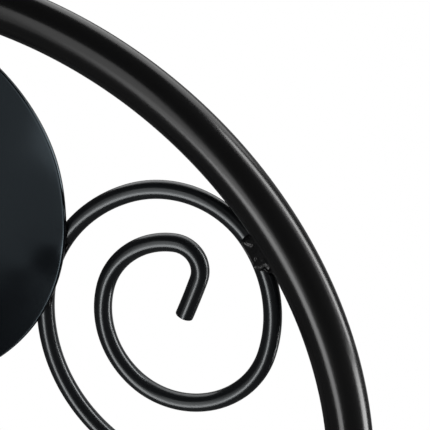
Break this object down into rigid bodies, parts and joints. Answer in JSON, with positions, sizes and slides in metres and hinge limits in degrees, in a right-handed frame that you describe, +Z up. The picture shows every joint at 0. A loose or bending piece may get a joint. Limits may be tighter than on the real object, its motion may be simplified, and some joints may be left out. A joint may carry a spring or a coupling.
{
  "type": "metal trellis arch",
  "caption": "Flat arch-topped garden trellis of round tube, with a round plate, bent rod scrolls and a grid of rods, on ground stakes.",
  "frame": {"origin": "middle of the bounding box's bottom, level with the points of the two ground stakes", "axes": "+X to the right across the width, +Y from front to back, the plate and uprights being on the front, +Z up"},
  "size_m": [0.456, 0.02, 1.6799],
  "materials": {
    "frame_tube": "satin black powder coat",
    "rods": "satin black powder coat",
    "plate": "satin black powder coat",
    "stakes": "satin black powder coat",
    "fasteners": "black coated"
  },
  "bodies": {
    "root": {"arch_tube": "frame_tube", "left_leg": "frame_tube", "right_leg": "frame_tube", "left_stake": "stakes", "right_stake": "stakes", "centre_plate": "plate", "left_scroll": "rods", "right_scroll": "rods", "scroll_rail": "rods", "upper_middle_rail": "rods", "upper_bottom_rail": "rods", "lower_top_rail": "rods", "lower_second_rail": "rods", "lower_third_rail": "rods", "foot_rail": "rods", "upper_left_upright": "rods", "upper_centre_upright": "rods", "upper_right_upright": "rods", "lower_left_upright": "rods", "lower_centre_upright": "rods", "lower_right_upright": "rods", "frame_screws": "fasteners", "cap_nuts": "fasteners"}
  },
  "joints": []
}
